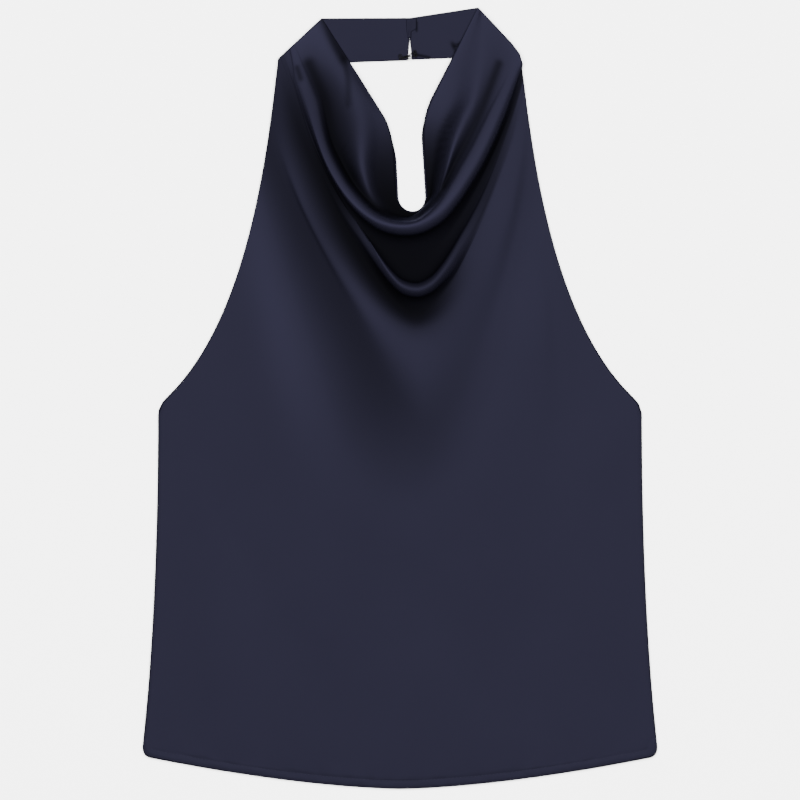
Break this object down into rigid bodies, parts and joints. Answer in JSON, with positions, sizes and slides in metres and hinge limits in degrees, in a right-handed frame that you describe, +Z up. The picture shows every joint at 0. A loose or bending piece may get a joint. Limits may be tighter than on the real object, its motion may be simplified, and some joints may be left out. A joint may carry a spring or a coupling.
{
  "type": "halter neck top",
  "caption": "Women's sleeveless halter neck top in dark navy satin, laid flat, with a draped cowl front and a keyhole back closed at the neckband.",
  "frame": {"origin": "middle of the top's outline as it lies, on the surface that it lies on", "axes": "+X across the top to the right of a person looking down at it, +Y from the hem to the neckband, +Z up from the surface"},
  "size_m": [0.4578, 0.6946, 0.0246],
  "materials": {
    "satin": "soft satin sheen, dark navy",
    "wire": "black enamelled wire"
  },
  "bodies": {
    "root": {"front_panel": "satin", "back_panel": "satin", "neckband_left": "satin", "neckband_right": "satin", "hook": "wire", "eye": "wire"}
  },
  "joints": []
}
